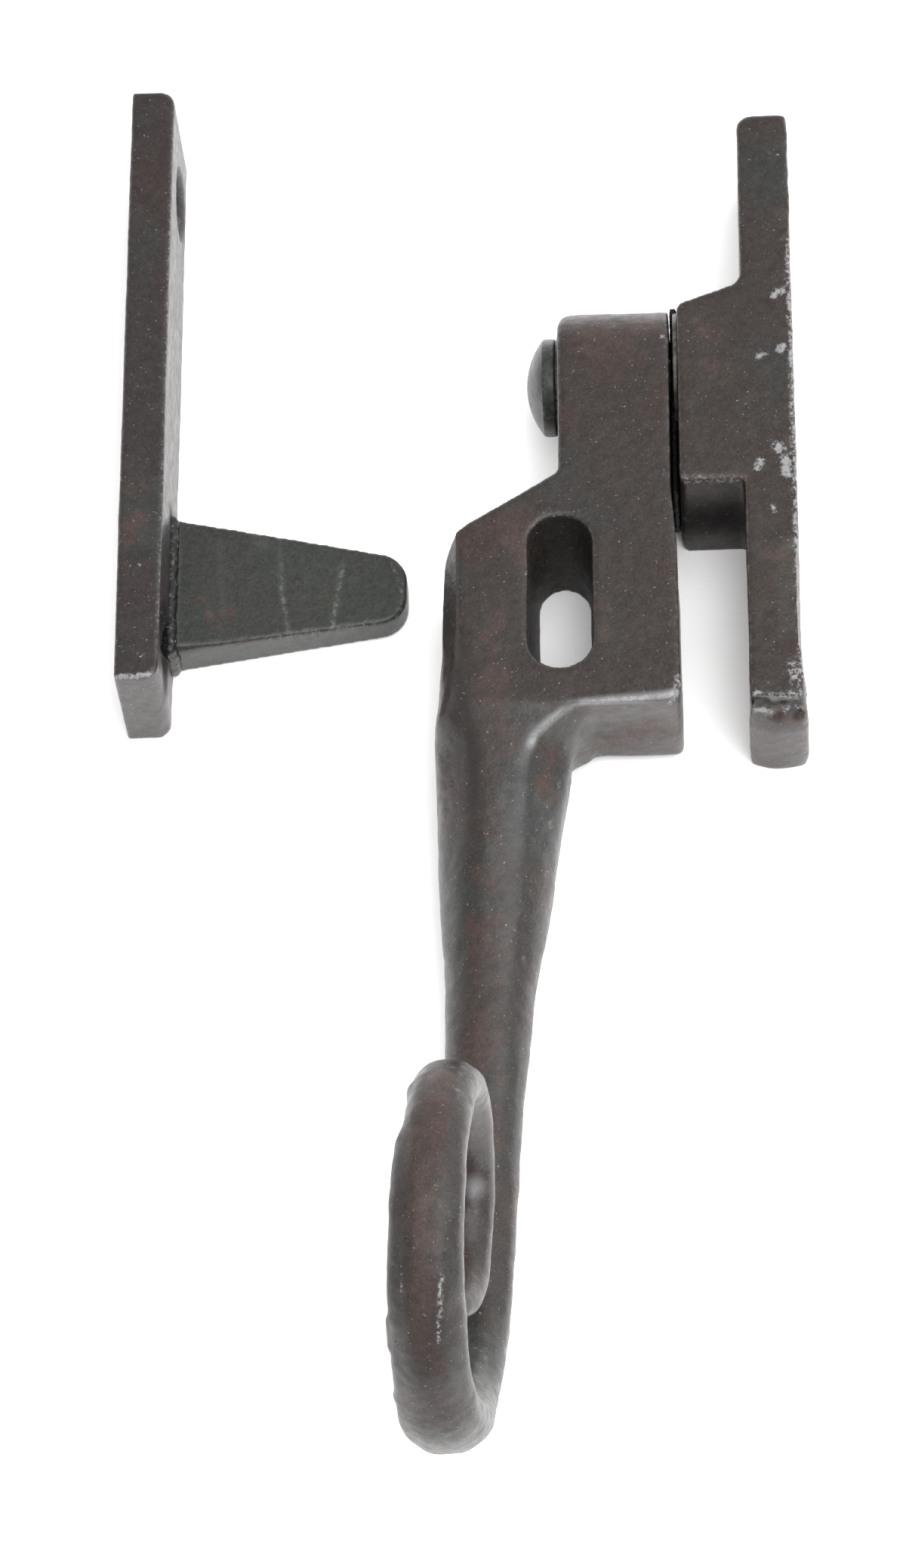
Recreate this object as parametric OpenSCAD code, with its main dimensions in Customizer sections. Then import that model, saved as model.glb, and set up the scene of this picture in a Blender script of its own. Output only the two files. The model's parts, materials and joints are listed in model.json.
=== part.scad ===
// Casement fastener with a scrolled lever, and its loose strike.
// Millimetres. Both pieces lie on their long edges: X runs along the pivot pin,
// Y along the two screw plates, Z up from the surface they lie on.
// Inside the modules the pivot axis is at y = 0 and the room-side face of the
// fixing plate is at x = 0. Everything is moved to the frame's origin at the end.

/* [Fixing plate] */
// Length of the fixing plate
plate_len = 78; // [72:0.5:90]
// Width of the fixing plate, of its boss and of the lever's head and block
plate_w = 17; // [15:0.5:20]
// Thickness of the fixing plate
plate_t = 6; // [5:0.25:8]
// Distance from the pivot axis to the plate's upper end
pivot_from_top = 32; // [28:0.5:36]
// Rounding of a screw plate's ends on its screw-head side
end_round = 1.7; // [0.5:0.1:2.4]
// Height of the boss above the plate
boss_h = 7.5; // [6:0.25:10]
// Boss above the pivot axis, at its outer face
boss_above = 6; // [5:0.25:8]
// Boss below the pivot axis
boss_below = 17.7; // [12:0.1:18]
// Slope of the boss's upper end, in degrees from the pin
boss_slope = 20; // [5:1:30]
// Radius where the boss runs into the plate
boss_fillet = 2; // [0.5:0.1:3]
// Easing of the boss's outer edges
boss_ease = 0.5; // [0.2:0.1:1]

/* [Screw holes] */
// Diameter of the screw holes
screw_d = 4.8; // [3.5:0.1:5.5]
// Diameter of the countersinks at the face
screw_head_d = 9.4; // [7:0.1:9.6]
// Distance from a plate's end to the centre of its screw hole
screw_inset = 10; // [8:0.5:12]

/* [Pivot pin] */
// Diameter of the pin's shank
pin_d = 6; // [4:0.25:8]
// Diameter of the pin's head
pin_head_d = 11.5; // [10:0.25:14]
// Height of the straight rim under the dome
pin_rim_t = 1.45; // [0.5:0.05:2.5]
// Height of the dome over the rim
pin_dome_h = 2.05; // [1:0.05:3.5]
// Diameter of the riveted end, flush with the plate's back
rivet_d = 9; // [8.2:0.1:11]
// Depth of the riveted end
rivet_h = 1.6; // [0.8:0.1:2.4]
// Radial clearance between the pin and the lever that turns on it
running_fit = 0.05; // [0.02:0.01:0.1]
// Play along the pin on each side of the lever
end_play = 0.05; // [0.02:0.01:0.1]

/* [Washers] */
// Thickness of the thin washer under the pin's head
head_washer_t = 0.35; // [0.2:0.05:1]
// How far the thin washer's rim stays inside the rim of the pin's head
head_washer_inset = 0.05; // [0:0.05:0.5]
// How far the spring washer's rim stays inside the plate's width
spring_washer_inset = 0.2; // [0.1:0.1:1]
// Sheet thickness of the spring washer
spring_washer_t = 0.5; // [0.3:0.05:0.8]
// How far the spring washer is dished
spring_washer_dish = 0.4; // [0.1:0.05:0.8]
// Clearance of the washers' holes around the pin
washer_clear = 0.2; // [0.1:0.05:0.4]

/* [Lever head and slot] */
// Thickness of the head along the pin
head_t = 12.9; // [10:0.1:15]
// How far the block stands closer to the plate than the head does
block_proud = 0.55; // [0.1:0.05:0.7]
// Length of the slope from the head's near face to the block's
proud_run = 8; // [2:0.5:12]
// How much closer still the block's foot stands
foot_proud = 0.2; // [0:0.05:0.25]
// Width of the slotted block at the shoulder
block_w = 26.75; // [25:0.25:30]
// How far the block's outer side leans out by its foot
block_flare = 0.6; // [0.1:0.05:0.8]
// Length of the tapered slot
slot_len = 19.7; // [16:0.1:22]
// Width of the slot at its wide mouth, on the upper face
slot_mouth_w = 7.5; // [6.5:0.1:8.5]
// Width of the slot on the lower face
slot_back_w = 5.9; // [5:0.1:6.5]
// Distance from the pivot axis to the slot's near end
slot_from_pivot = 21.9; // [20:0.1:24]
// Wall between the slot's mouth and the side toward the plate
slot_side_wall = 9.6; // [8:0.1:11]
// Metal below the slot
slot_end_wall = 4.6; // [3.5:0.1:6]
// Distance from the pivot axis down to the shoulder
shoulder_drop = 15.4; // [14.5:0.1:17.5]
// Angle of the shoulder, from the pin's direction
shoulder_angle = 32; // [15:1:35]
// Radius in the corner between the head and the shoulder
shoulder_fillet = 1.2; // [1:0.1:3.5]
// Radius of the shoulder's outer corner
shoulder_round = 6; // [2:0.25:7]
// Radius of the block's free corner
block_corner = 1.7; // [0.5:0.1:3]
// How far the block's foot leans in under its upper edge
foot_lean = 0.8; // [0.3:0.1:1.2]
// Height of the upright land under that edge
foot_land = 1; // [0.5:0.1:3]
// Rounding of the foot's lower edge
foot_round = 2.6; // [1:0.1:3.5]
// Width of the bevel down the block's outer edges
bevel_w = 1.7; // [0.5:0.1:3]
// Depth of that bevel
bevel_d = 3; // [1:0.1:5]
// Distance from the slot's near end down to the start of that bevel
bevel_drop = 2; // [0:0.5:6]

/* [Stem] */
// Length of the stem, from the block to the start of the scroll
stem_len = 67.7; // [50:0.1:80]
// Width of the stem where it leaves the block
stem_root_w = 15.9; // [14:0.1:17]
// How much thinner than the block the stem's root is
stem_inset = 0.4; // [0.2:0.1:1.5]
// How far the stem's outer side stands out from the block's foot
stem_out = 0.55; // [0.2:0.05:0.6]
// Angle at which the stem's outer side runs up into the block
stem_tuck = 18; // [10:1:25]
// Sideways lean of the stem, in degrees
stem_lean = 3.4; // [0:0.1:6]
// Radius between the block and the stem
stem_fillet = 3; // [1:0.25:4]
// How fast the stem narrows, as a power of the length that is left
stem_narrowing = 2.6; // [1.5:0.1:3.5]
// How fast the stem thins and sinks, as a power of the length that is left
stem_thinning = 2.2; // [1.5:0.1:3.5]
// Width of the bar's long bevels, as a share of its section
bar_bevel = 0.3; // [0.15:0.01:0.38]
// The same share where the stem leaves the block
root_bevel = 0.12; // [0.05:0.01:0.15]
// Length over which the bevels open out
bevel_run = 4; // [3:0.5:15]

/* [Scroll] */
// Radius of the scroll's centre line where it starts
scroll_r0 = 22.3; // [18:0.1:26]
// Radius of the scroll's centre line at its tip
scroll_r1 = 8.7; // [7:0.1:10]
// Turn of the scroll, in degrees
scroll_turn = 422; // [380:1:440]
// How the radius falls, as a power of the share of the turn
scroll_closing = 1.1; // [1:0.05:1.3]
// Width of the bar at the start of the scroll
scroll_w0 = 8.4; // [6:0.1:10]
// Width of the bar near the tip
scroll_w1 = 5.9; // [4:0.1:7]
// Thickness of the bar at the start of the scroll
scroll_t0 = 6.1; // [4:0.1:7]
// Thickness of the bar near the tip
scroll_t1 = 3.9; // [2.5:0.1:5]
// Share of the turn over which the tip is drawn out
tip_share = 0.1; // [0.04:0.01:0.2]
// Share of the bar's section that is left at the blunt end of the tip
tip_blunt = 0.25; // [0.1:0.05:0.5]
// Sideways lean of the scroll as it rises, in degrees
scroll_lean = 3; // [0:0.25:5]
// Height of the scroll's underside over the surface it lies on
scroll_rise = 3.2; // [0.5:0.1:5]

/* [Strike] */
// Length of the strike plate
strike_len = 79.5; // [72:0.5:90]
// Width of the strike plate
strike_w = 15.5; // [14.5:0.5:20]
// Thickness of the strike plate
strike_t = 5.1; // [4:0.1:7]
// Distance between the strike plate and the fixing plate as they lie
strike_apart = 67.2; // [60:0.2:90]
// Upper end of the strike over the upper end of the fixing plate
strike_raise = 6.8; // [0:0.2:12]
// Height of the upper screw hole over the strike's lower edge
strike_hole_high = 5.9; // [5.4:0.1:9]
// Height of the lower screw hole over that edge, beside the tongue
strike_hole_low = 10; // [9.8:0.1:10.2]
// How much nearer to its end the lower screw hole is than the upper one
strike_hole_shift = 1.6; // [0:0.1:2]

/* [Tongue] */
// Length of the tongue
tongue_len = 27.3; // [22:0.1:34]
// Height of the tongue along the plate, at its root
tongue_root_h = 16.9; // [14:0.1:17.5]
// Height of the tongue along the plate, near its tip
tongue_tip_h = 9; // [8:0.1:12]
// Distance from the strike's lower end to the tongue
tongue_from_end = 8.9; // [6:0.1:16]
// Slope of the tongue's lower edge, in degrees
tongue_low_slope = 7.5; // [0:0.5:8]
// Thickness of the tongue at its root
tongue_root_t = 5; // [4:0.1:5]
// Thickness of the tongue at its tip
tongue_tip_t = 3.3; // [2:0.1:4]
// Tongue's far face over the strike's lower edge
tongue_lift = 0.3; // [0.1:0.1:0.5]
// Rounding of the tongue's tip, in the plane of its face
tongue_round = 3.4; // [1.5:0.1:3.8]
// Weld fillet round the tongue's root
weld_r = 1; // [0.4:0.1:1.4]

/* [Hidden] */
$fn = 64;
iron = "#5f5a57";
worn_iron = "#6b6a66";

// How far a cutting shape runs out past the face it opens
over = 1;
// How far joined cylinders run into each other
lap = 0.02;

// Height of the pivot axis: plate, boss, head and block lie flat on the surface
pivot_z = plate_w / 2;

// Places along the pin, from the plate's face toward the room
washer_gap = spring_washer_t + spring_washer_dish + 2 * end_play;
lever_near_x = -boss_h - washer_gap;
lever_far_x = lever_near_x - head_t;
block_near_x = lever_near_x + block_proud;
block_far_x = block_near_x - block_w;
block_foot_x = block_far_x - block_flare;
block_foot_near_x = block_near_x + foot_proud;
pin_head_x = lever_far_x - end_play - head_washer_t;

// Places along the lever, from the pivot axis down
shoulder_y = -shoulder_drop;
slot_x = block_near_x - slot_side_wall - slot_mouth_w / 2;
slot_top_y = -slot_from_pivot;
slot_low_y = slot_top_y - slot_len;
block_low_y = slot_low_y - slot_end_wall;
scroll_y = block_low_y - stem_len;

// The stem starts inside the block, most of the way to the slot
start_share = 0.8;
stem_start_y = block_low_y + slot_end_wall * start_share;
stem_root_x = block_foot_x - stem_out + stem_root_w / 2;

// Places on the two plates
plate_low_y = pivot_from_top - plate_len;
strike_x = -strike_apart;
strike_top_y = pivot_from_top + strike_raise;
strike_low_y = strike_top_y - strike_len;
tongue_low_y = strike_low_y + tongue_from_end;

// Heights of the scroll's centre and of the bar's centre line at its start
scroll_z = scroll_rise + scroll_t0 / 2 + scroll_r0;
scroll_start_z = scroll_z - scroll_r0;

// Points of an arc about c, from angle a0 to a1
function arc(c, r, a0, a1, n = 8) =
    [for (i = [0 : n]) let (a = a0 + (a1 - a0) * i / n) [c[0] + r * cos(a), c[1] + r * sin(a)]];

// Smooth step from 0 to 1
function ease(s) = let (t = min(1, max(0, s))) t * t * (3 - 2 * t);

// A value that starts at a, where share is 1, and ends at b, where it is 0
function fade(a, b, share, power) = b + (a - b) * pow(share, power);

// Sideways place of the bar's centre line, from its place along Y and its height
function bar_x(y, z) =
    stem_root_x + tan(stem_lean) * (y - block_low_y) - tan(scroll_lean) * (z - scroll_start_z);

// Eight corners of the bar's section, turned by angle about the scroll's axis;
// bevel is the share of the width w and of the thickness t that each bevel takes
function bar_ring(x, y, z, angle, w, t, bevel) =
    let (a = w / 2, b = t / 2, ca = w * bevel, cb = t * bevel,
         corners = [[a, cb - b], [a, b - cb], [a - ca, b], [ca - a, b],
                    [-a, b - cb], [-a, cb - b], [ca - a, -b], [a - ca, -b]])
    [for (p = corners) [x + p[0], y - p[1] * sin(angle), z - p[1] * cos(angle)]];

// Ring of the stem at share s of its length, 0 in the block and 1 at the scroll;
// its side toward the plate flares into the block and its outer side tucks into it
function stem_ring(s) =
    let (y = stem_start_y + (scroll_y - stem_start_y) * s,
         below = max(0, block_low_y - y),
         tuck = max(0, y - block_low_y) * tan(stem_tuck),
         left = 1 - below / stem_len,
         w = fade(stem_root_w, scroll_w0, left, stem_narrowing),
         t = fade(plate_w - stem_inset, scroll_t0, left, stem_thinning),
         z = fade(pivot_z, scroll_start_z, left, stem_thinning),
         lack = max(0, stem_fillet - below),
         flare = stem_fillet - sqrt(stem_fillet * stem_fillet - lack * lack),
         bevel = root_bevel + (bar_bevel - root_bevel) * ease(below / bevel_run))
    bar_ring(bar_x(y, scroll_start_z) + (flare + tuck) / 2, y, z, 0, w + flare - tuck, t, bevel);

// Ring of the scroll at share s of its turn; the tip is drawn out to a blunt point
function scroll_ring(s) =
    let (angle = scroll_turn * s,
         r = scroll_r0 - (scroll_r0 - scroll_r1) * pow(s, scroll_closing),
         y = scroll_y - r * sin(angle),
         z = scroll_z - r * cos(angle),
         out = max(0, s - 1 + tip_share) / tip_share,
         draw = max(tip_blunt, sqrt(max(0, 1 - out * out))),
         w = (scroll_w0 + (scroll_w1 - scroll_w0) * s) * draw,
         t = (scroll_t0 + (scroll_t1 - scroll_t0) * s) * draw)
    bar_ring(bar_x(y, z), y, z, angle, w, t, bar_bevel);

// Rings of the whole bar, closer together near the block
stem_rings = 18;
stem_crowding = 1.3;
scroll_rings = 56;
bar_rings = concat(
    [for (i = [0 : stem_rings - 1]) stem_ring(pow(i / stem_rings, stem_crowding))],
    [for (i = [0 : scroll_rings]) scroll_ring(i / scroll_rings)]);

// Middle of the whole, which is put over the frame's origin
bar_low_y = min([for (ring = bar_rings) for (p = ring) p[1]]);
mid_x = (plate_t - strike_apart - strike_t) / 2;
mid_y = (max(strike_top_y, pivot_from_top) + min(bar_low_y, plate_low_y)) / 2;

module at_origin() {
    translate([-mid_x, -mid_y, 0]) children();
}

// A cylinder or cone about the pivot axis, from x0 to x1
module along_pin(x0, x1, d0, d1) {
    translate([x0, 0, pivot_z]) rotate([0, 90, 0]) cylinder(d1 = d0, d2 = d1, h = x1 - x0);
}

// A countersunk screw hole along X, with the head's face at x = face_x;
// side is 1 where the head sits on the +X face and -1 where it sits on the -X face
module screw_hole(face_x, thickness, side, y, z) {
    sink = (screw_head_d - screw_d) / 2;
    translate([face_x, y, z]) rotate([0, -90 * side, 0]) {
        translate([0, 0, -over]) cylinder(d = screw_d, h = thickness + 2 * over);
        translate([0, 0, -lap])
            cylinder(d1 = screw_head_d + 2 * lap, d2 = screw_d, h = sink + lap);
    }
}

// Fixing plate and boss, cut from one profile
module fixing_plate() color(iron) at_origin() difference() {
    slope = boss_slope;
    fillet_y = boss_above + (boss_h - boss_fillet) * tan(slope) + boss_fillet / cos(slope);
    linear_extrude(height = plate_w) polygon(concat(
        [[0, plate_low_y], [plate_t, plate_low_y], [plate_t, pivot_from_top]],
        arc([end_round, pivot_from_top - end_round], end_round, 90, 180),
        arc([-boss_fillet, fillet_y], boss_fillet, 0, slope - 90),
        [[boss_ease - boss_h, boss_above + boss_ease * tan(slope)],
         [-boss_h, boss_above - boss_ease],
         [-boss_h, boss_ease - boss_below],
         [boss_ease - boss_h, -boss_below],
         [0, -boss_below]]));
    along_pin(-boss_h - over, plate_t + over, pin_d, pin_d);
    along_pin(plate_t - rivet_h, plate_t, pin_d, rivet_d);
    for (y = [pivot_from_top - screw_inset, plate_low_y + screw_inset])
        screw_hole(0, plate_t, -1, y, pivot_z);
}

// Domed pin, its end riveted into the back of the plate
module pivot_pin() color(worn_iron) at_origin() {
    half = pin_head_d / 2;
    dome_r = (half * half + pin_dome_h * pin_dome_h) / (2 * pin_dome_h);
    rim_x = pin_head_x - pin_rim_t;
    top_x = rim_x - pin_dome_h;
    union() {
        along_pin(pin_head_x - lap, plate_t, pin_d, pin_d);
        along_pin(plate_t - rivet_h, plate_t, pin_d, rivet_d);
        along_pin(rim_x, pin_head_x, pin_head_d, pin_head_d);
        intersection() {
            translate([top_x + dome_r, 0, pivot_z]) sphere(r = dome_r);
            along_pin(top_x, rim_x + lap, pin_head_d, pin_head_d);
        }
    }
}

// Thin washer between the pin's head and the lever
module head_washer() color(iron) at_origin() difference() {
    outer_d = pin_head_d - 2 * head_washer_inset;
    inner_d = pin_d + 2 * washer_clear;
    along_pin(pin_head_x, pin_head_x + head_washer_t, outer_d, outer_d);
    along_pin(pin_head_x - over, pin_head_x + head_washer_t + over, inner_d, inner_d);
}

// Dished washer that puts friction on the lever; its rim bears on the boss
module spring_washer() color(worn_iron) at_origin() {
    inner = pin_d / 2 + washer_clear;
    outer = plate_w / 2 - spring_washer_inset;
    translate([-boss_h, 0, pivot_z]) rotate([0, -90, 0]) rotate_extrude()
        polygon([[outer, 0], [outer, spring_washer_t],
                 [inner, spring_washer_t + spring_washer_dish], [inner, spring_washer_dish]]);
}

// Outline of the head and the slotted block, seen along Z
module lever_outline() {
    slope = shoulder_angle;
    head_top_y = plate_w / 2 + over;
    // Height at which the shoulder's line would meet the block's outer side
    fillet_x = lever_far_x - shoulder_fillet * (1 - sin(slope));
    fillet_y = shoulder_y - shoulder_fillet * cos(slope);
    side_y = fillet_y - (fillet_x - block_far_x) * tan(slope);
    round_y = side_y - shoulder_round * tan((90 - slope) / 2);
    polygon(concat(
        [[lever_near_x, head_top_y],
         [lever_near_x, slot_top_y + proud_run / 2],
         [block_near_x, slot_top_y - proud_run / 2]],
        arc([block_foot_near_x - block_corner, block_low_y + block_corner], block_corner, 0, -90),
        [[block_foot_x, block_low_y]],
        arc([block_far_x + shoulder_round, round_y], shoulder_round, 180, 90 + slope),
        arc([lever_far_x - shoulder_fillet, shoulder_y], shoulder_fillet, slope - 90, 0),
        [[lever_far_x, head_top_y]]));
}

// Wedge that bevels the block's outer edge on the lower face
module outer_bevel() {
    top_y = slot_top_y - bevel_drop;
    translate([block_far_x, top_y, 0]) rotate([90, 0, 0])
        linear_extrude(height = top_y - block_low_y + over)
            polygon([[-over, -over], [bevel_w, -over], [bevel_w, 0],
                     [0, bevel_d], [-over, bevel_d]]);
}

// Side of the block, seen along the pin, with its leaning and rounded foot
module block_side() {
    lean = atan(foot_lean / (plate_w - foot_land));
    round_y = block_low_y + foot_lean - foot_round * tan(lean) + foot_round / cos(lean);
    polygon(concat(
        [[over, 0], [over, plate_w],
         [block_low_y - foot_land * tan(lean), plate_w]],
        arc([round_y, foot_round], foot_round, 180 + lean, 270, 5)));
}

// Head and block: the outline, cut to the round end that turns about the pin
module lever_core() difference() {
    intersection() {
        linear_extrude(height = plate_w) lever_outline();
        union() {
            along_pin(block_foot_x - over, 0, plate_w, plate_w);
            translate([block_foot_x - over, 0, 0]) rotate([90, 0, 90])
                linear_extrude(height = over - block_foot_x) block_side();
        }
    }
    // Once on the lower face and once, turned over, on the upper face
    for (face = [0, 1])
        translate([0, 0, face * plate_w]) mirror([0, 0, face]) outer_bevel();
}

// Slot with round ends that narrows from its mouth to the lower face; its taper
// runs on past both faces
module tapered_slot() {
    taper = (slot_mouth_w - slot_back_w) / 2 / plate_w;
    low = slot_back_w / 2 - taper * over;
    high = slot_mouth_w / 2 + taper * over;
    depth = plate_w + 2 * over;
    run = slot_len - slot_mouth_w;
    translate([slot_x, slot_top_y - slot_mouth_w / 2, -over]) {
        for (y = [0, -run]) translate([0, y, 0]) cylinder(r1 = low, r2 = high, h = depth);
        rotate([90, 0, 0]) linear_extrude(height = run)
            polygon([[-low, 0], [low, 0], [high, depth], [-high, depth]]);
    }
}

// Stem and scroll, lofted through the rings of the bar
module scrolled_bar() {
    n = len(bar_rings[0]);
    last = len(bar_rings) - 1;
    polyhedron(
        points = [for (ring = bar_rings) for (p = ring) p],
        faces = concat(
            [[for (j = [n - 1 : -1 : 0]) j]],
            [for (i = [0 : last - 1]) for (j = [0 : n - 1]) for (half = [0, 1])
                let (k = (j + 1) % n)
                half == 0 ? [i * n + j, i * n + k, (i + 1) * n + j]
                          : [i * n + k, (i + 1) * n + k, (i + 1) * n + j]],
            [[for (j = [0 : n - 1]) last * n + j]]),
        convexity = 10);
}

// Lever: round head, slotted block, bevelled stem and scroll, one forging
module lever() color(iron) at_origin() difference() {
    bore_d = pin_d + 2 * running_fit;
    union() {
        lever_core();
        scrolled_bar();
    }
    along_pin(lever_far_x - over, lever_near_x + over, bore_d, bore_d);
    tapered_slot();
}

// Strike plate; its lower screw hole stands off to leave room for the tongue
module strike_plate() color(iron) at_origin() difference() {
    back_x = strike_x - strike_t;
    linear_extrude(height = strike_w) polygon(concat(
        [[back_x, strike_low_y]],
        arc([strike_x - end_round, strike_low_y + end_round], end_round, -90, 0),
        arc([strike_x - end_round, strike_top_y - end_round], end_round, 0, 90),
        [[back_x, strike_top_y]]));
    screw_hole(strike_x, strike_t, 1, strike_top_y - screw_inset, strike_hole_high);
    screw_hole(strike_x, strike_t, 1, strike_low_y + screw_inset - strike_hole_shift,
               strike_hole_low);
}

// Outline of the tongue with its weld, seen along Z, from its root at x = 0
module tongue_outline() {
    low_tip = tongue_len * tan(tongue_low_slope);
    top_tip = low_tip + tongue_tip_h;
    top_slope = atan((tongue_root_h - top_tip) / tongue_len);
    tip_x = tongue_len - tongue_round;
    polygon(concat(
        arc([weld_r, -weld_r], weld_r, 180, 90, 3),
        arc([tip_x, low_tip + tongue_round], tongue_round, tongue_low_slope - 90, 0),
        arc([tip_x, top_tip - tongue_round], tongue_round, 0, 90 - top_slope),
        arc([weld_r, tongue_root_h + weld_r], weld_r, -90, -180, 3)));
}

// Outline of the tongue with its weld, seen along the plate
module tongue_taper() {
    polygon(concat(
        [[0, 0], [tongue_len + over, 0], [tongue_len + over, tongue_tip_t]],
        arc([weld_r, tongue_root_t + weld_r], weld_r, -90, -180, 3)));
}

// Tongue, tapered on its upper face, with the weld that holds it to the plate
module strike_tongue() color(worn_iron) at_origin()
    translate([strike_x, tongue_low_y, tongue_lift]) intersection() {
        linear_extrude(height = tongue_root_t + weld_r) tongue_outline();
        translate([0, tongue_root_h + weld_r + over, 0]) rotate([90, 0, 0])
            linear_extrude(height = tongue_root_h + 2 * (weld_r + over)) tongue_taper();
    }

fixing_plate();
pivot_pin();
head_washer();
spring_washer();
lever();
strike_plate();
strike_tongue();
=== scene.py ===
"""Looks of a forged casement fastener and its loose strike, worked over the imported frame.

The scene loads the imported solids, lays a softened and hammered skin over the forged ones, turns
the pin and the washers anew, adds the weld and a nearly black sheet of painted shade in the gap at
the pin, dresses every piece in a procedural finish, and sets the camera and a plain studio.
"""

import json
import logging
import math
import random
from dataclasses import dataclass
from enum import Enum

import bpy
import numpy as np
from mathutils import Matrix, Vector


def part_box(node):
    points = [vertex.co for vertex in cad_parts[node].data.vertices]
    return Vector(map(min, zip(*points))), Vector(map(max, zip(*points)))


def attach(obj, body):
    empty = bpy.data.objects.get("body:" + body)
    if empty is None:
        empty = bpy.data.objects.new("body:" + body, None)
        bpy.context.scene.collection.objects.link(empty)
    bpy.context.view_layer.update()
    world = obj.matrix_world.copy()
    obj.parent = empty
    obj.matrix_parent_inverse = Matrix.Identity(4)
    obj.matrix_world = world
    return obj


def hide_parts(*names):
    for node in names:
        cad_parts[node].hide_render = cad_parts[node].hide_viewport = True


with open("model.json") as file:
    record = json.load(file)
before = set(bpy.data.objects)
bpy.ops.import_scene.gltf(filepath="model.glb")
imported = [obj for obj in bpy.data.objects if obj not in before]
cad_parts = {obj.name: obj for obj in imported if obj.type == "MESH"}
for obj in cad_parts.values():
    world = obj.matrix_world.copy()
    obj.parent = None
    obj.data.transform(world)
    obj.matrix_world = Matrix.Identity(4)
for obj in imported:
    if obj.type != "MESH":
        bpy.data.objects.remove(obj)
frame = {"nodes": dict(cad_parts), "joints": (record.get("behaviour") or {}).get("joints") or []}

MM = 0.001
# Thickness of the fixing plate, whose room face the places along the pin are measured from
PLATE_T_MM = 6.0
# Vertices nearer than this are one
DOUBLES_MM = 0.001
# Attributes that carry the marks, real wear and painted shade and highlights alike, and the polished
# ones among them, which hold painted highlights too
WEAR_AND_PAINTED_LIGHT = "wear_and_painted_light"
SHINE = "shine"
# A Mix node's two colours and its result, which share their names with other sockets
MIX_UNDER, MIX_OVER, MIX_RESULT = 6, 7, 2
Piece = bpy.types.Object
Tree = bpy.types.NodeTree
Socket = bpy.types.NodeSocket
Pair = tuple[float, float]
Triple = tuple[float, float, float]
Points = tuple[Triple, ...]
log = logging.getLogger("casement_fastener")


class Slot(Enum):
    """Material slots of the record."""

    WAXED_IRON = "waxed_iron"
    RUBBED_IRON = "rubbed_iron"
    WASHER_STEEL = "washer_steel"


class Body(Enum):
    """Bodies that the pieces ride on."""

    FIXING = "fixing"
    LEVER = "lever"
    STRIKE = "strike"


def linear(hex_colour: str) -> tuple[float, float, float, float]:
    """Turns an sRGB hex value into the linear colour that a socket takes.

    Args:
        hex_colour: A value such as "#544e4b".

    Returns:
        Red, green, blue and alpha, linear.
    """
    channels = [int(hex_colour[start:start + 2], 16) / 255 for start in (1, 3, 5)]
    red, green, blue = (
        level / 12.92 if level <= 0.04045 else ((level + 0.055) / 1.055) ** 2.4 for level in channels
    )
    return red, green, blue, 1.0


def add_node(
    tree: Tree,
    kind: str,
    inputs: dict[str | int, object] | None = None,
    **settings: object,
) -> bpy.types.bpy_prop_collection:
    """Adds a node with its settings, values and links.

    Args:
        tree: The tree that gets the node.
        kind: The node's type name, after its "ShaderNode".
        inputs: Values, or the sockets to link from, by input name or number.
        **settings: Properties of the node itself, set before its inputs.

    Returns:
        The new node's outputs.
    """
    node = tree.nodes.new("ShaderNode" + kind)
    for name, value in settings.items():
        setattr(node, name, value)
    for socket, value in (inputs or {}).items():
        if isinstance(value, Socket):
            tree.links.new(value, node.inputs[socket])
        else:
            node.inputs[socket].default_value = value
    return node.outputs


@dataclass(frozen=True)
class Layout:
    """Places that the looks share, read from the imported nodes, in metres."""

    pivot: Vector
    # Lowest and highest corner of each node
    boxes: dict[str, tuple[Vector, Vector]]

    @classmethod
    def read(cls) -> "Layout":
        """Reads the pivot's place from its joint and the boxes of all nodes."""
        pivot = next(joint for joint in frame["joints"] if joint["name"] == "lever_pivot")
        return cls(Vector(pivot["pos_m"]), {name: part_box(name) for name in frame["nodes"]})

    @property
    def zero(self) -> Vector:
        """Where the plate's room face meets the pivot's height, on the table."""
        back_x = self.boxes["fixing_plate"][1].x
        return Vector((back_x - PLATE_T_MM * MM, self.pivot.y, 0))


class Mark(Enum):
    """What a mark does to the finish: rub it pale or lay a painted glint, warm it, darken it with soot
    or painted shade, or polish it under a painted highlight.
    """

    PALE = 0
    WARM = 1
    DARK = 2
    SHINE = 3


# Worn and stained places, and places of painted shade and painted highlight, by kind, each with its
# reach, its strength and a line of points on the surface, in millimetres: X from the plate's room face,
# Y from the pivot, Z from the table
Marks = dict[Mark, tuple[tuple[float, float, Points], ...]]


def ring(centre: Triple, radius_mm: float, corners: int = 12) -> Points:
    """Closed ring of points about an axis along X.

    Args:
        centre: Middle of the ring, in millimetres.
        radius_mm: Radius of the ring.
        corners: Number of points.

    Returns:
        The points, the first one again at the end.
    """
    x, y, z = centre
    turns = [2 * math.pi * corner / corners for corner in range(corners + 1)]
    return tuple((x, y + radius_mm * math.cos(turn), z + radius_mm * math.sin(turn)) for turn in turns)


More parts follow.
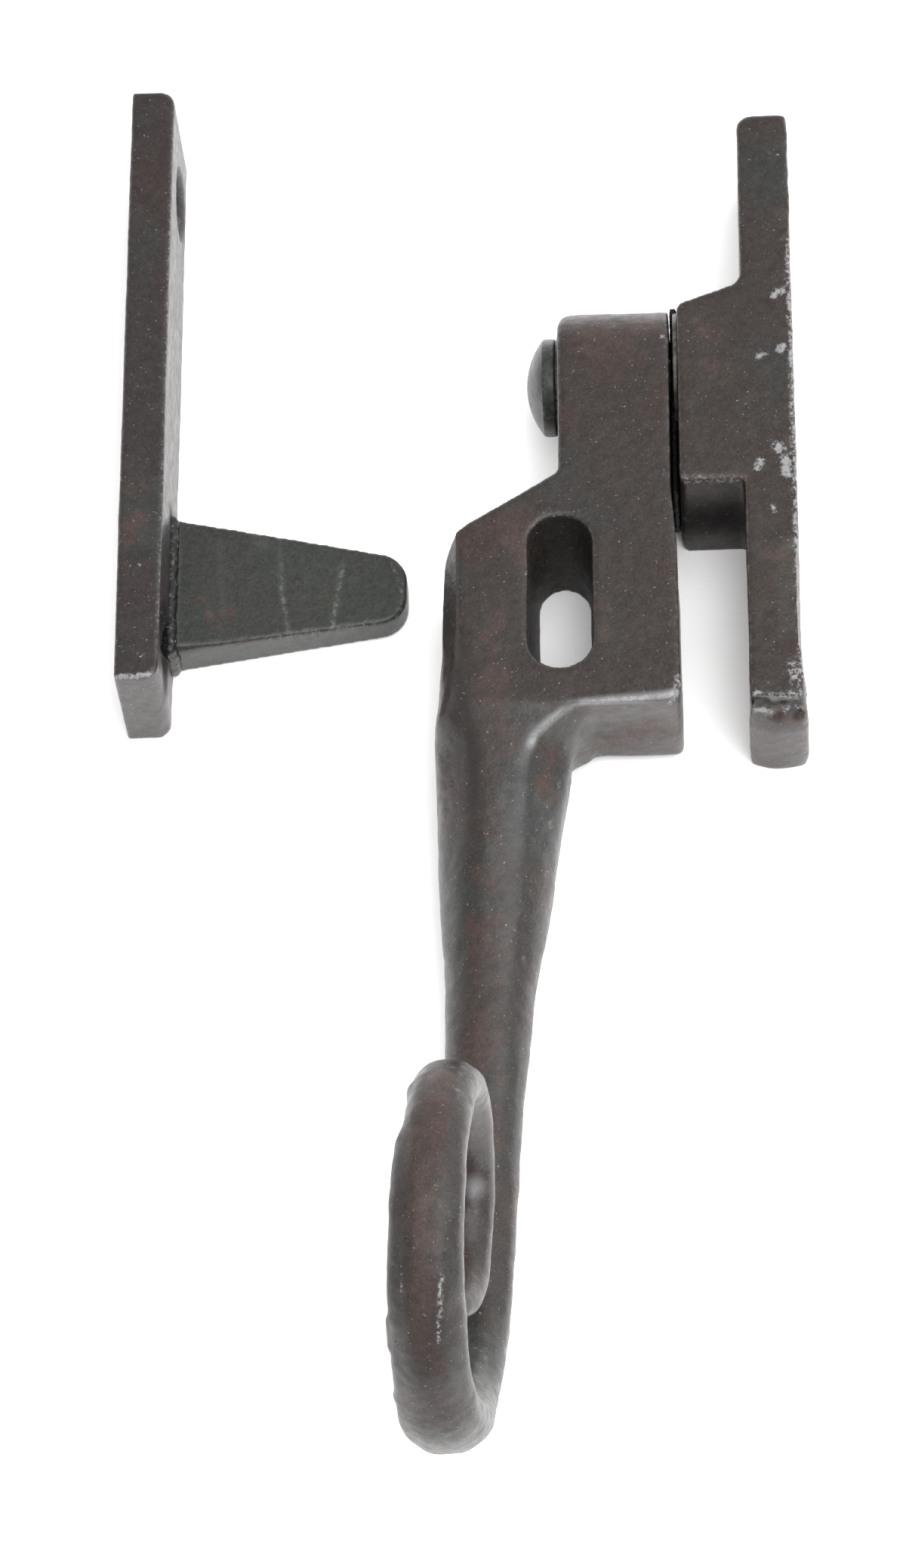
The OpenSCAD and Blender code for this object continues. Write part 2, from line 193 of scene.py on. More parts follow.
def nearness(places: np.ndarray, points: Points, reach_mm: float) -> np.ndarray:
    """Tells how near places are to a line of points.

    Args:
        places: Places, one a row, in millimetres.
        points: Points of the line, or a single one, in the same millimetres.
        reach_mm: Distance at which nearness has fallen to 0.

    Returns:
        For each place 1 on the line, falling softly to 0.
    """
    corners = np.array(points, dtype=float)
    legs = np.diff(corners, axis=0) if len(corners) > 1 else np.zeros_like(corners)
    nearest = np.full(len(places), np.inf)
    for start, leg in zip(corners, legs):
        # A single point has a leg of no length, which is kept from dividing by 0
        along = np.clip((places - start) @ leg / max(leg @ leg, 1e-9), 0, 1)
        nearest = np.minimum(nearest, np.linalg.norm(places - start - along[:, None] * leg, axis=1))
    share = np.clip(1 - nearest / reach_mm, 0, 1)
    return share * share * (3 - 2 * share)


@dataclass(frozen=True)
class Easing:
    """A line, measured as a mark is, along which a piece is softened, moved in or out and crumpled."""

    reach_mm: float
    rounds: int
    points: Points
    swell_mm: float = 0.0
    crumple_mm: float = 0.0


# Bench tools, each working on one piece with Blender's own operators
def pick(piece: Piece) -> None:
    """Makes a piece the only selected and the active object.

    Args:
        piece: The piece.
    """
    bpy.ops.object.select_all(action="DESELECT")
    piece.select_set(True)
    bpy.context.view_layer.objects.active = piece


def deselect() -> None:
    """Deselects everything, so that a new primitive is the only thing picked."""
    bpy.ops.object.select_all(action="DESELECT")


def blank(node: str, name: str) -> Piece:
    """Cuts a blank for a piece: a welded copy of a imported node's mesh.

    Args:
        node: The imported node.
        name: Name of the new piece.

    Returns:
        The new object, at the origin.
    """
    mesh = frame["nodes"][node].data.copy()
    mesh.materials.clear()
    piece = bpy.data.objects.new(name, mesh)
    bpy.context.scene.collection.objects.link(piece)
    pick(piece)
    bpy.ops.object.mode_set(mode="EDIT")
    bpy.ops.mesh.select_all(action="SELECT")
    bpy.ops.mesh.remove_doubles(threshold=DOUBLES_MM * MM)
    bpy.ops.mesh.normals_make_consistent(inside=False)
    bpy.ops.object.mode_set(mode="OBJECT")
    return piece


def modify(piece: Piece, kind: str, **settings: object) -> None:
    """Adds one modifier and applies it.

    Args:
        piece: The piece to work.
        kind: The modifier's type.
        **settings: The modifier's properties.
    """
    pick(piece)
    modifier = piece.modifiers.new(kind.title(), kind)
    for name, value in settings.items():
        setattr(modifier, name, value)
    bpy.ops.object.modifier_apply(modifier=modifier.name)


def weigh(piece: Piece, name: str, weights: np.ndarray) -> str:
    """Gives each vertex a weight.

    Args:
        piece: The piece to weigh.
        name: Name of the vertex group.
        weights: A weight for each vertex; what passes 1 counts as 1, and next to nothing as none.

    Returns:
        The name, as text, because applying a modifier ends the group object's life.
    """
    group = piece.vertex_groups.new(name=name)
    for index in np.flatnonzero(weights > 0.01):
        group.add([int(index)], min(1.0, float(weights[index])), "REPLACE")
    return name


def hammer(piece: Piece, size_mm: float, depth_mm: float, group: str = "", middle: float = 0.5) -> None:
    """Dents the surface with soft lumps.

    Args:
        piece: The piece to dent.
        size_mm: Size of a lump.
        depth_mm: Height from the lowest dent to the highest lump.
        group: Vertex group that limits the dents.
        middle: Noise value at which the surface stays where it is.
    """
    texture = bpy.data.textures.new(f"lumps_{piece.name}", "CLOUDS")
    texture.noise_scale = size_mm * MM
    texture.noise_depth = 2
    modify(
        piece, "DISPLACE", texture=texture, texture_coords="LOCAL", strength=depth_mm * MM,
        mid_level=middle, vertex_group=group,
    )


def swell(piece: Piece, swell_mm: float, group: str = "") -> None:
    """Moves the surface, or the part of it in a vertex group, out along its normals."""
    modify(piece, "DISPLACE", strength=swell_mm * MM, mid_level=0.0, vertex_group=group)


def cut(piece: Piece, tool: Piece) -> None:
    """Cuts the tool's shape out of the piece and throws the tool away."""
    modify(piece, "BOOLEAN", operation="DIFFERENCE", object=tool, solver="EXACT")
    bpy.data.objects.remove(tool)


def wedge(corner: Vector, along: Vector, across: Vector, size: Vector) -> Piece:
    """Makes a cutting block that stands on the plane through a corner.

    Args:
        corner: Middle of the cut, on the plane.
        along: Direction in the plane that the block's length follows.
        across: A second direction in the plane.
        size: Length, width and height of the block.

    Returns:
        The block, on the side of the plane that along and across turn toward.
    """
    along = along.normalized()
    up = along.cross(across).normalized()
    side = up.cross(along)
    turn = Matrix((along, side, up)).transposed().to_4x4()
    deselect()
    bpy.ops.mesh.primitive_cube_add(size=1)
    tool = bpy.context.active_object
    tool.matrix_world = Matrix.Translation(corner + up * size.z / 2) @ turn @ Matrix.Diagonal((*size, 1))
    return tool


def turn_piece(
    name: str, centre: Vector, stations: list[Pair], hollow: bool = False, sides: int = 96
) -> Piece:
    """Turns a piece about an axis along X by extruding a ring from station to station.

    Args:
        name: Name of the piece.
        centre: A point on the axis.
        stations: Places along X and radii, in metres; a hollow piece ends where it began.
        hollow: Whether the profile closes on itself instead of being capped.
        sides: Number of facets round the axis.

    Returns:
        The turned piece, at the origin.
    """
    start, radius = stations[0]
    deselect()
    bpy.ops.mesh.primitive_circle_add(
        vertices=sides, radius=radius, location=(start, centre.y, centre.z), rotation=(0, math.pi / 2, 0)
    )
    piece = bpy.context.active_object
    piece.name = name
    bpy.ops.object.transform_apply(location=True, rotation=True, scale=True)
    bpy.ops.object.mode_set(mode="EDIT")
    bpy.ops.mesh.select_all(action="SELECT")
    for place, new_radius in stations[1:]:
        bpy.ops.mesh.extrude_region_move(TRANSFORM_OT_translate={"value": (place - start, 0, 0)})
        share = new_radius / radius
        bpy.ops.transform.resize(value=(1, share, share), center_override=(place, centre.y, centre.z))
        start, radius = place, new_radius
    bpy.ops.mesh.select_all(action="SELECT")
    bpy.ops.mesh.remove_doubles(threshold=DOUBLES_MM * MM)
    if not hollow:
        bpy.ops.mesh.fill_holes(sides=0)
    bpy.ops.mesh.select_all(action="SELECT")
    bpy.ops.mesh.normals_make_consistent(inside=False)
    bpy.ops.object.mode_set(mode="OBJECT")
    return piece


def vertex_places(piece: Piece, zero: Vector) -> np.ndarray:
    """Reads where the piece's vertices are.

    Args:
        piece: The piece.
        zero: Place to measure from.

    Returns:
        Places, one a row, in millimetres.
    """
    flat = np.empty(len(piece.data.vertices) * 3)
    piece.data.vertices.foreach_get("co", flat)
    return (flat.reshape(-1, 3) - np.array(zero)) / MM


def ease(piece: Piece, zero: Vector, easings: tuple[Easing, ...]) -> None:
    """Softens the piece along lines.

    Args:
        piece: The piece, finely meshed.
        zero: Place from which the lines are measured.
        easings: The lines, worked in order.
    """
    for number, easing in enumerate(easings):
        near = nearness(vertex_places(piece, zero), easing.points, easing.reach_mm)
        name = weigh(piece, f"easing_{number}", near)
        if easing.rounds:
            modify(piece, "SMOOTH", factor=0.5, iterations=easing.rounds, vertex_group=name)
        if easing.swell_mm:
            swell(piece, easing.swell_mm, name)
        if easing.crumple_mm:
            hammer(piece, easing.reach_mm / 2, easing.crumple_mm, name)


def paint_marks(piece: Piece, zero: Vector, marks: Marks) -> None:
    """Paints the marks, painted shade and highlights among them, into the piece's two attributes.

    Args:
        piece: The finished piece.
        zero: Place from which the marks are measured.
        marks: The marks.
    """
    places = vertex_places(piece, zero)
    wear_and_painted_light = np.zeros((len(places), len(Mark)))
    for kind, lines in marks.items():
        channel = wear_and_painted_light[:, kind.value]
        for reach_mm, strength, points in lines:
            near = strength * nearness(places, points, reach_mm)
            np.maximum(channel, near, out=channel)
    layer = piece.data.color_attributes.new(WEAR_AND_PAINTED_LIGHT, "FLOAT_COLOR", "POINT")
    layer.data.foreach_set("color", wear_and_painted_light.ravel())
    layer = piece.data.attributes.new(SHINE, "FLOAT", "POINT")
    layer.data.foreach_set("value", wear_and_painted_light[:, Mark.SHINE.value].copy())


def shade(piece: Piece, angle: float = 180.0) -> None:
    """Shades the piece smooth up to an angle, in degrees."""
    pick(piece)
    bpy.ops.object.shade_smooth_by_angle(angle=math.radians(angle))


@dataclass(frozen=True)
class Skin:
    """How a forged surface is softened: a fine even mesh, eased edges, then lumps and pits."""

    grain_mm: float = 0.3
    easing: int = 3
    lump_mm: float = 9.0
    lump_depth_mm: float = 0.2
    pit_mm: float = 1.3
    pit_depth_mm: float = 0.07

    def work(self, piece: Piece) -> None:
        """Works the skin over a blank.

        Args:
            piece: The blank.
        """
        self.mesh_over(piece)
        self.dent(piece)
        shade(piece)

    def mesh_over(self, piece: Piece) -> None:
        """Lays a fine even mesh over the piece and eases its edges."""
        modify(piece, "REMESH", mode="VOXEL", voxel_size=self.grain_mm * MM, use_smooth_shade=True)
        modify(piece, "SMOOTH", factor=0.5, iterations=self.easing)

    def dent(self, piece: Piece) -> None:
        """Adds hammer lumps and fine pits."""
        hammer(piece, self.lump_mm, self.lump_depth_mm)
        hammer(piece, self.pit_mm, self.pit_depth_mm)


@dataclass(frozen=True)
class IronFinish:
    """Forged iron, its black oxide scale under wax.

    The scale reflects more than paint would, so faces that lean away from the eye turn
    light. Brown and greenish patches lie over one another, edges and marks are rubbed pale,
    some marks lay painted shade, highlights and glints, and fine dust is caught in the wax.
    """

    name: str
    base: str = "#403733"
    warm: str = "#483732"
    cool: str = "#3c3d3b"
    rust: str = "#54413b"
    worn_and_highlight: str = "#c3c2c4"
    soot_and_shade: str = "#1a1716"
    speck: str = "#b9b2a4"
    # Magnetite has an IOR of 2.4, and the wax over it lowers what is seen of that
    ior: float = 1.7
    roughness: float = 0.34
    warm_share: float = 0.5
    cool_share: float = 0.5
    patch_mm: float = 14.0
    mottle_mm: float = 1.2
    mottle_depth: float = 0.18
    # The real grain is near 0.05 mm; it is drawn coarser so that it shows
    grain_mm: float = 0.3
    grain_depth_mm: float = 0.03
    grain_tone: float = 0.34
    pit_mm: float = 1.5
    pit_depth_mm: float = 0.07
    speck_mm: float = 0.32
    speck_edge: float = 0.67
    chip_mm: float = 0.8
    chip_edge: float = 0.77
    edge_from: float = 0.515
    edge_to: float = 0.56
    edge_strength: float = 0.22
    facet_tint: float = 0.0
    seed: float = 0.0

    def build(self) -> bpy.types.Material:
        """Builds the material.

        Returns:
            The finished material.
        """
        material = bpy.data.materials.new(self.name)
        material.use_nodes = True
        tree = material.node_tree
        tree.nodes.clear()
        place = add_node(tree, "TexCoord")
        patterns = self._patterns(tree, place["Object"])
        wear_and_painted_light = add_node(tree, "Attribute", attribute_name=WEAR_AND_PAINTED_LIGHT)["Color"]
        wear_and_painted_light = add_node(tree, "SeparateColor", {0: wear_and_painted_light})
        marks = {kind: wear_and_painted_light[kind.value] for kind in (Mark.PALE, Mark.WARM, Mark.DARK)}
        marks[Mark.SHINE] = add_node(tree, "Attribute", attribute_name=SHINE)["Fac"]
        roughness = patterns["gloss"]
        # Dark places, soot and painted shade alike, are made duller, and rust too; rubbed places and
        # painted highlights are made glossier
        for kind, change in ((Mark.DARK, 0.6), (Mark.WARM, 0.2), (Mark.SHINE, -0.2)):
            sum_of = {0: marks[kind], 1: change, 2: roughness}
            roughness = add_node(tree, "Math", sum_of, operation="MULTIPLY_ADD", use_clamp=True)[0]
        # Grain of the oxide over shallow pits
        relief = {}
        for name, depth_mm in (("pits", self.pit_depth_mm), ("grain", self.grain_depth_mm)):
            bump = {"Height": patterns[name], "Strength": 1.0, "Distance": depth_mm * MM, **relief}
            relief["Normal"] = add_node(tree, "Bump", bump)[0]
        colour = self._colour(tree, patterns, marks, place["Normal"])
        looks = {"Base Color": colour, "Roughness": roughness, "IOR": self.ior, **relief}
        shader = add_node(tree, "BsdfPrincipled", looks)
        add_node(tree, "OutputMaterial", {"Surface": shader[0]})
        return material

    def _patterns(self, tree: Tree, place: Socket) -> dict[str, Socket]:
        """Adds the noises that the finish is drawn from, most of them through a smooth step.

        Args:
            tree: The material's tree.
            place: Place on the piece, in metres.

        Returns:
            The patterns by name.
        """
        point = add_node(tree, "VectorMath", {0: place, "Scale": 1 / MM}, operation="SCALE")[0]
        # The more of a patch there is to be, the lower in the noise it starts
        warm, cool = (0.66 - 0.3 * share for share in (self.warm_share, self.cool_share))
        speck, chip = self.speck_edge, self.chip_edge
        tone, fine = self.mottle_depth, self.grain_tone
        # Each noise has its shift, the size of its lumps and its detail. A step follows, with the
        # noise at its lower and upper end and the value there
        rows = {
            "warm": (0, self.patch_mm, 4.0, warm, warm + 0.13, 0.0, 1.0),
            "cool": (3, 1.4 * self.patch_mm, 4.0, cool, cool + 0.13, 0.0, 1.0),
            "mottle": (5, self.mottle_mm, 6.0, 0.28, 0.72, 1 - tone, 1 + tone),
            "gloss": (7, self.mottle_mm, 5.0, 0.3, 0.7, self.roughness - 0.06, self.roughness + 0.1),
            "rubbing": (9, 1.0, 5.0, 0.44, 0.62, 0.0, self.edge_strength),
            "specks": (13, self.speck_mm, 2.0, speck, speck + 0.04, 0.0, 0.8),
            "pits": (15, self.pit_mm, 4.0),
            "grain": (17, self.grain_mm, 3.0),
            "grain_tone": (17, self.grain_mm, 3.0, 0.28, 0.72, 1 - fine, 1 + fine),
            "warm_fray": (19, 2.4, 5.0, 0.3, 0.7, -0.6, 0.6),
            "pale_fray": (21, 0.4, 5.0, 0.3, 0.7, -0.6, 0.6),
            "chips": (23, self.chip_mm, 2.0, chip, chip + 0.04, 0.0, 0.8),
        }
        patterns = {}
        for name, (shift, size_mm, detail, *step) in rows.items():
            patterns[name] = add_node(
                tree, "TexNoise",
                {"Vector": point, "W": self.seed + shift, "Scale": 1 / size_mm, "Detail": detail,
                 "Roughness": 0.62},
                noise_dimensions="4D",
            )[0]
            if step:
                ends = dict(zip(("From Min", "From Max", "To Min", "To Max"), step))
                patterns[name] = add_node(
                    tree, "MapRange", {"Value": patterns[name], **ends},
                    interpolation_type="SMOOTHSTEP",
                )[0]
        return patterns

    def _colour(
        self, tree: Tree, patterns: dict[str, Socket], marks: dict[Mark, Socket], normal: Socket
    ) -> Socket:
        """Lays the colours over one another.

        Args:
            tree: The material's tree.
            patterns: The noises by name.
            marks: Shares of the marks.
            normal: Normal on the piece.

        Returns:
            The colour.
        """
        lean = add_node(tree, "SeparateXYZ", {0: normal})[0]
        lean = add_node(tree, "Math", {0: lean}, operation="ABSOLUTE")[0]
        raised = add_node(tree, "NewGeometry")["Pointiness"]
        flank, edge = (
            add_node(
                tree, "MapRange", {"Value": value, "From Min": low, "From Max": high, "To Max": most},
                interpolation_type="SMOOTHSTEP",
            )[0]
            for value, low, high, most in (
                (lean, 0.2, 0.5, self.facet_tint), (raised, self.edge_from, self.edge_to, 1.0),
            )
        )
        # The metal is bare on raised edges, where hands have rubbed them, and on pale marks, some of
        # which are painted glints
        edge = add_node(tree, "Math", {0: edge, 1: patterns["rubbing"]}, operation="MULTIPLY")[0]
        pale = self._frayed(tree, marks[Mark.PALE], patterns["pale_fray"])
        bare_and_glints = add_node(tree, "Math", {0: edge, 1: pale}, operation="MAXIMUM")[0]
        # A layer without a colour of its own makes what is under it lighter or darker
        layers = (
            (self.warm, patterns["warm"]), (self.cool, patterns["cool"]), (self.cool, flank),
            (self.rust, self._frayed(tree, marks[Mark.WARM], patterns["warm_fray"])),
            ("", patterns["mottle"]), ("", patterns["grain_tone"]),
            (self.soot_and_shade, marks[Mark.DARK]), (self.worn_and_highlight, marks[Mark.SHINE]), (self.worn_and_highlight, bare_and_glints),
            (self.speck, patterns["specks"]), (self.speck, patterns["chips"]),
        )
        colour = linear(self.base)
        for over, share in layers:
            if over:
                coat = {0: share, MIX_UNDER: colour, MIX_OVER: linear(over)}
                colour = add_node(tree, "Mix", coat, data_type="RGBA")[MIX_RESULT]
            else:
                tone = {0: colour, "Scale": share}
                colour = add_node(tree, "VectorMath", tone, operation="SCALE")[0]
        return colour

    def _frayed(self, tree: Tree, mark: Socket, fray: Socket) -> Socket:
        """Breaks up a mark by noise, so that it frays toward its rim.

        Args:
            tree: The material's tree.
            mark: Share of the mark.
            fray: Noise about 0 that eats into it.

        Returns:
            The frayed share.
        """
        spread = add_node(tree, "Math", {0: mark, 1: fray}, operation="ADD")[0]
        spread = add_node(
            tree, "MapRange", {"Value": spread, "From Min": 0.15, "From Max": 0.95},
            interpolation_type="SMOOTHSTEP",
        )[0]
        # The noise alone shows nothing where the mark has ended
        kept = add_node(tree, "Math", {0: mark, 1: 3.0}, operation="MULTIPLY", use_clamp=True)[0]
        return add_node(tree, "Math", {0: spread, 1: kept}, operation="MULTIPLY")[0]


# Lower edge of the block, where hands have rubbed it and a highlight is painted along it, running down
# into the stem
RUBBED_AND_HIGHLIT_EDGE = (
    (-8.6, -45.4, 16.9), (-12.2, -45.8, 16.9), (-15.6, -46.0, 16.9), (-18.8, -46.3, 16.8),
    (-20.4, -46.8, 16.7), (-22.0, -47.8, 16.5), (-23.2, -48.8, 16.2), (-24.2, -49.8, 16.0),
    (-24.9, -50.8, 15.7),
)
LEVER_MARKS: Marks = {
    Mark.SHINE: (
        # The rubbed edge and its run down the stem, with a painted highlight laid over the rubbing
        (0.95, 0.78, RUBBED_AND_HIGHLIT_EDGE),
        (1.1, 0.3, ((-24.9, -50.8, 15.7), (-26.6, -54.0, 14.6), (-26.9, -59.0, 13.6))),
        # Painted glint inside the scroll
        (1.9, 0.6, ((-30.9, -104.6, 17.0), (-30.8, -106.0, 20.0), (-30.6, -107.2, 22.5))),
    ),
    Mark.PALE: (
        # The same edge rubbed pale, with a painted glint
        (0.5, 0.8, RUBBED_AND_HIGHLIT_EDGE),
        (1.1, 0.55, ((-8.9, -45.9, 16.2), (-8.0, -44.8, 16.7), (-7.8, -43.4, 16.8))),
        (0.6, 0.5, (
            (-24.9, -29.5, 17), (-24.6, -25.6, 17), (-23.6, -23.3, 17), (-21.8, -22.1, 17),
            (-20.1, -22.3, 17),
        )),
        (0.55, 0.9, ((-9.1, 1.5, 17.0),)),
        (0.5, 0.55, ((-32.8, -126.3, 45.3), (-33.0, -129.5, 43.0), (-33.4, -131.8, 40.5))),
        (0.5, 0.5, ((-36.9, -125.5, 45.7), (-37.1, -129.4, 43.0))),
    ),
    Mark.WARM: (
        (5.2, 0.7, ((-16.5, 2.2, 17), (-11.0, 2.4, 17))),
        (2.4, 0.7, ((-26.5, -22.0, 17), (-26.2, -28.0, 17))),
        (3.6, 0.6, ((-28.3, -34.0, 17), (-28.9, -43.0, 17), (-28.2, -50.0, 16))),
        (3.4, 0.4, ((-17.1, -32.7, 17), (-16.3, -37.6, 17))),
        (6.0, 1.0, ((-15.5, -46.2, 7), (-11.5, -46.2, 9))),
        (3.2, 1.0, ((-22.6, -50.5, 14.0), (-23.6, -55.0, 12.6))),
        (4.0, 0.7, ((-29.7, -66.0, 12), (-30.3, -78.0, 11), (-30.5, -96.0, 9.6))),
        (3.2, 0.95, (
            (-32.6, -104.5, 44.4), (-33.8, -112.0, 48.0), (-34.4, -119.8, 47.8), (-34.7, -126.9, 44.9),
            (-34.5, -130.6, 41.8), (-34.3, -133.0, 37.0),
        )),
    ),
    Mark.DARK: (
        # Painted shade along the block's left bevel and down the stem
        (1.5, 0.45, (
            (-33.0, -41.5, 17), (-32.2, -45.5, 16.8), (-31.4, -50.0, 16), (-31.0, -58.0, 14.6),
        )),
        (0.7, 0.6, ((-15.0, -8.8, 17),)),
        # Painted shade on the scroll's lower bend, which faces the table
        (6.5, 0.42, ((-34.3, -132.5, 40.5), (-34.1, -135.3, 35.5), (-34.0, -136.3, 30.0))),
        (2.6, 0.3, ((-38.4, -112.0, 46.5), (-38.6, -122.0, 46.5), (-38.8, -129.0, 42.0))),
    ),
}
PLATE_MARKS: Marks = {
    Mark.PALE: (
        (1.0, 1.0, ((3.9, -13.7, 17), (4.2, -14.1, 17))),
        (1.0, 1.0, ((4.7, -15.3, 17), (4.9, -17.4, 17))),
        (0.8, 1.0, ((1.5, -16.4, 17), (1.9, -15.7, 17))),
        (0.9, 1.0, ((4.0, 6.7, 17), (4.9, 7.2, 17))),
        (0.8, 1.0, ((4.5, -0.9, 17), (4.7, -0.3, 17))),
        (0.7, 0.8, ((1.9, -1.5, 17), (2.6, -1.3, 17))),
        (0.6, 0.8, ((3.1, -21.8, 17), (3.3, -22.1, 17))),
        (0.9, 0.6, ((5.9, 14.0, 17), (5.9, -10.7, 17), (5.9, -34.4, 17), (6.0, -44.0, 17))),
        (0.8, 0.6, ((0.3, -45.6, 17), (3.1, -46.1, 17), (5.6, -45.8, 17))),
        (1.2, 0.5, ((4.6, -42.0, 17), (5.4, -44.5, 17))),
        # Painted glints on the crumpled lower end
        (0.9, 0.9, ((0.8, -45.8, 13.2), (2.2, -45.9, 12.4))),
        (0.9, 0.9, ((3.8, -45.9, 12.8), (5.2, -45.9, 13.2))),
        (1.0, 0.9, ((4.6, -45.7, 16.4), (5.7, -45.2, 15.6))),
        (1.2, 0.42, ((-7.0, -17.6, 16.4), (-3.6, -17.7, 16.3), (-0.3, -17.7, 16.4))),
    ),
    Mark.WARM: (
        (1.9, 1.0, ((2.4, -27.7, 17), (4.9, -28.5, 17))),
        (4.0, 0.4, ((-5.0, 4.0, 17), (-3.5, -4.0, 17))),
        (2.5, 0.8, ((3.0, -46.1, 14), (4.0, -46.1, 12))),
        (1.6, 1.0, ((-7.0, -17.6, 16.4), (-3.6, -17.7, 16.3), (-0.3, -17.7, 16.4))),
    ),
    Mark.DARK: (
        # Painted shade in the creases of the crumpled lower end
        (1.7, 0.95, (
            (0.6, -45.8, 15.6), (2.2, -45.7, 14.4), (3.4, -45.7, 14.8), (5.2, -45.7, 15.4),
        )),
        # Painted shade under the boss
        (8.0, 0.9, ((-5.5, -17.8, 7.5), (-2.0, -17.8, 7.5))),
    ),
}
STRIKE_MARKS: Marks = {
    Mark.DARK: (
        # Painted shade inside the countersink of the upper screw hole
        (2.2, 1.0, ring((-68.6, 28.8, 6.1), 3.2)),
        (4.2, 1.0, ((-67.2, -16.5, 6.0), (-67.2, -25.0, 8.0), (-67.2, -36.5, 8.5))),
    ),
    Mark.PALE: (
        (0.5, 0.32, ((-67.2, 32.4, 15.5), (-67.2, -3.2, 15.5), (-67.2, -38.0, 15.5))),
        (0.6, 0.9, ((-72.1, -40.6, 15.4), (-69.8, -40.6, 15.4), (-68.0, -40.3, 15.4))),
        (0.5, 0.6, ((-69.7, -26.0, 15.5),)),
        (0.6, 0.6, ((-69.2, -37.8, 15.5),)),
    ),
    Mark.WARM: (
        (3.5, 0.5, ((-70.5, -14.0, 15.5), (-70.5, -22.0, 15.5))),
    ),
}
LEVER_EASINGS = (
    # Where the block's underside runs into the stem
    Easing(4.6, 70, (
        (-18, -46.2, 0.5), (-21, -50.6, 1), (-21, -50.6, 5), (-18, -46.2, 5), (-18, -46.2, 9),
        (-21, -50.6, 9), (-21, -50.6, 12.5), (-18, -46.2, 12.5),
    )),
    Easing(2.6, 0, ((-19.6, -48.4, 0), (-19.6, -48.6, 7)), -0.75),
    # The stem is fuller below the block and rounder toward the scroll
    Easing(12.0, 0, ((-28.4, -53, 9.5), (-29.6, -66, 9)), 1.1),
    Easing(14.0, 220, ((-29.8, -65, 7), (-30.3, -92, 5))),
    # Where the block's outer bevels run into the stem's
    Easing(5.0, 0, ((-35.2, -42.4, 3), (-35.2, -42.4, 14)), 0.2),
    Easing(6.5, 110, (
        (-34, -40, 15), (-34, -54, 14), (-35, -54, 9), (-35.2, -40, 9), (-35, -40, 4), (-34.5, -54, 3),
    )),
    Easing(4.4, 90, ((-35.6, -44.6, 1), (-35.6, -44.6, 16))),
    Easing(3.6, 40, ((-31.5, -47, 17), (-26, -48, 17))),
    Easing(3.6, 40, ((-31.5, -47, 0), (-26, -48, 0))),
    # The head's end and its corners
    Easing(4.4, 110, ((-21.4, 8.3, 0), (-21.4, 8.3, 17), (-9, 8.4, 17))),
    Easing(3.8, 60, ((-21.4, 8.4, 0), (-9, 8.4, 0))),
    # The block's inner corner
    Easing(2.6, 40, ((-8, -46, 0.5), (-8, -46, 16.5))),
    # The scroll's full lower bend
    Easing(14.0, 0, ((-33.6, -134.5, 20),), 0.55),
    # A step and two small laps on the outer side of the scroll, left by the hammer
    Easing(3.4, 0, ((-37.7, -106.8, 42.9), (-37.9, -109.0, 44.1)), -1.0),
    Easing(3.4, 0, ((-37.3, -103.2, 40.0), (-37.0, -101.2, 36.0)), -0.55),
    Easing(1.2, 0, ((-38.9, -129.0, 39.8), (-38.8, -130.8, 37.6)), 0.35),
    Easing(1.0, 0, ((-38.6, -133.5, 30.3),), 0.2),
)
PLATE_EASINGS = (
    # The upset lower end, crumpled near its upper edge
    Easing(4.2, 0, ((3.0, -46.2, 1), (3.0, -46.2, 9)), 0.8),
    Easing(3.4, 0, ((0.8, -46.2, 14.6), (5.0, -46.2, 13.4)), -0.6, 2.4),
    Easing(1.6, 0, ((4.6, -46.2, 14.0),), -0.4),
    Easing(3.0, 0, ((6, -28, 16), (6, -38, 16)), -0.4),
    Easing(4.0, 0, ((6, -45, 2), (6, -45, 14)), 0.45),
    Easing(1.8, 12, ((-0.1, -46.2, 0.5), (-0.1, -46.2, 16.5))),
    # Its upper end, rounded by the file
    Easing(2.2, 30, ((6, 31.8, 0), (6, 31.8, 17), (0, 31.8, 17))),
)
TONGUE_MARKS: Marks = {
    Mark.PALE: (
        (0.62, 0.6, ((-54.4, -20.6, 4.5), (-54.3, -24.0, 4.5), (-53.5, -29.6, 4.4))),
        (0.6, 0.55, ((-47.3, -21.5, 4.2), (-47.8, -25.0, 4.2), (-48.3, -28.6, 4.2))),
        (0.6, 0.5, ((-65.0, -31.0, 4.9), (-54.4, -29.9, 4.4), (-43.5, -28.6, 3.9))),
        (0.6, 0.4, (
            (-41.5, -20.4, 3.8), (-40.3, -23.2, 3.7), (-40.3, -26.5, 3.7), (-41.5, -28.4, 3.8),
        )),
    ),
    Mark.SHINE: (
        (0.7, 0.25, ((-54.6, -16.6, 4.5), (-54.4, -22.8, 4.5), (-53.5, -29.6, 4.4))),
        (0.8, 0.16, ((-47.3, -20.5, 4.2), (-47.8, -25.0, 4.2), (-48.3, -28.6, 4.2))),
        (1.6, 0.16, ((-57.4, -16.0, 4.8), (-56.4, -18.0, 4.7))),
        (0.8, 0.12, ((-61.5, -17.5, 5.0), (-61.0, -27.0, 4.9))),
    ),
    Mark.WARM: (
        (3.2, 0.7, ((-62.9, -25.5, 4.9), (-61.5, -27.1, 4.9))),
        (0.8, 1.0, ((-59.7, -30.4, 4.6), (-58.4, -30.5, 4.6))),
    ),
}


